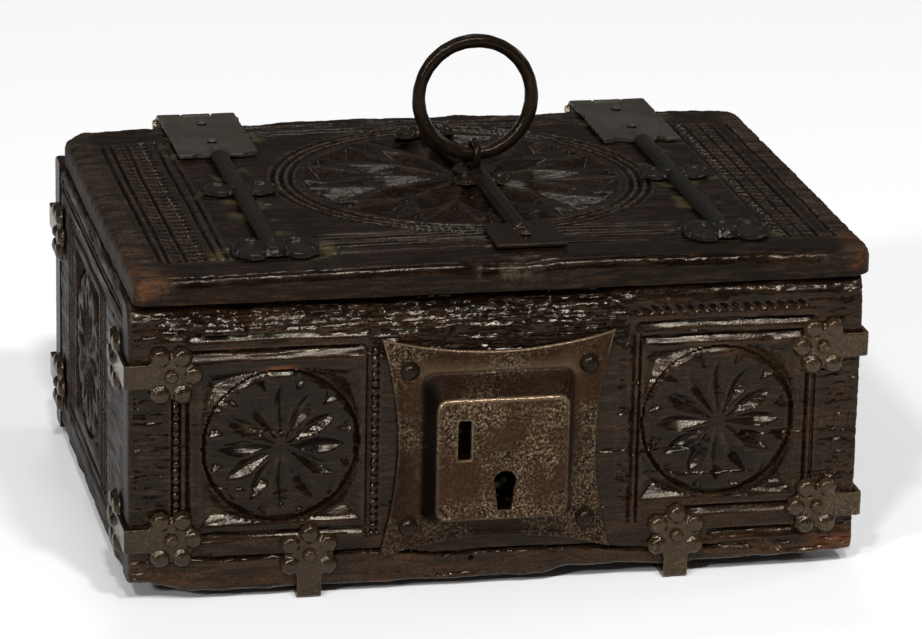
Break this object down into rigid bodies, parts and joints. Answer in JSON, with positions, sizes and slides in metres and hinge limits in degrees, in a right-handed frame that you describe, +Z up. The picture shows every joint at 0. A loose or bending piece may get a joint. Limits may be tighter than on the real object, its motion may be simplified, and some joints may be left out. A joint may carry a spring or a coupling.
{
  "type": "iron-mounted casket",
  "caption": "Chip-carved wooden casket with forged iron straps, a ring handle on the hinged lid and a box lock.",
  "frame": {"origin": "on the ground under the middle of the whole object", "axes": "+X to the right as seen from the front, +Y from the lock to the hinges, +Z up"},
  "size_m": [0.2684, 0.2172, 0.1712],
  "materials": {
    "carved_wood": "dark waxed wood, chip carved, worn bright on the edges",
    "forged_iron": "hand forged, dark, waxed",
    "rusty_lock_iron": "rust-brown sheet iron, half polished by handling"
  },
  "bodies": {
    "case": {"back_board": "carved_wood", "back_leaf_nail_left_lower": "forged_iron", "back_leaf_nail_left_upper": "forged_iron", "back_leaf_nail_right_lower": "forged_iron", "back_leaf_nail_right_upper": "forged_iron", "bottom_board": "carved_wood", "bottom_strap_left": "forged_iron", "bottom_strap_right": "forged_iron", "corner_strap_lower_back_left": "forged_iron", "corner_strap_lower_back_right": "forged_iron", "corner_strap_lower_front_left": "forged_iron", "corner_strap_lower_front_right": "forged_iron", "corner_strap_upper_back_left": "forged_iron", "corner_strap_upper_back_right": "forged_iron", "corner_strap_upper_front_left": "forged_iron", "corner_strap_upper_front_right": "forged_iron", "front_board": "carved_wood", "hinge_back_leaf_left": "forged_iron", "hinge_back_leaf_right": "forged_iron", "hinge_pin_left": "forged_iron", "hinge_pin_right": "forged_iron", "left_side_board": "carved_wood", "lock_bolt_guide_left": "forged_iron", "lock_bolt_guide_right": "forged_iron", "lock_key_pin": "forged_iron", "lock_nail_lower_left": "forged_iron", "lock_nail_lower_right": "forged_iron", "lock_nail_upper_left": "forged_iron", "lock_nail_upper_right": "forged_iron", "lock_plate": "rusty_lock_iron", "lock_spring": "forged_iron", "right_side_board": "carved_wood", "strap_nail_back_bottom_left": "forged_iron", "strap_nail_back_bottom_right": "forged_iron", "strap_nail_back_lower_left": "forged_iron", "strap_nail_back_lower_right": "forged_iron", "strap_nail_back_upper_left": "forged_iron", "strap_nail_back_upper_right": "forged_iron", "strap_nail_front_bottom_left": "forged_iron", "strap_nail_front_bottom_right": "forged_iron", "strap_nail_front_lower_left": "forged_iron", "strap_nail_front_lower_right": "forged_iron", "strap_nail_front_upper_left": "forged_iron", "strap_nail_front_upper_right": "forged_iron"},
    "lid": {"centre_strap_nail": "forged_iron", "hinge_nail_left_front": "forged_iron", "hinge_nail_left_rear": "forged_iron", "hinge_nail_right_front": "forged_iron", "hinge_nail_right_rear": "forged_iron", "hinge_strap_left": "forged_iron", "hinge_strap_right": "forged_iron", "lid_board": "carved_wood", "lid_centre_strap": "forged_iron", "ring_staple": "forged_iron"},
    "ring": {"ring_handle": "forged_iron"},
    "bolt": {"lock_bolt": "forged_iron"}
  },
  "joints": [
    {"name": "lid_hinge", "type": "hinge", "parent": "case", "child": "lid", "pos_m": [0.005, 0.1048, 0.11627], "axis": [-1, 0, 0], "range_deg": [0, 110]},
    {"name": "ring_swing", "type": "hinge", "parent": "lid", "child": "ring", "pos_m": [0.0133, 0.0132, 0.1265], "axis": [1, 0, 0], "range_deg": [-86, 92]},
    {"name": "bolt_slide", "type": "slide", "parent": "case", "child": "bolt", "axis": [-1, 0, 0], "range_m": [0, 0.01]}
  ]
}
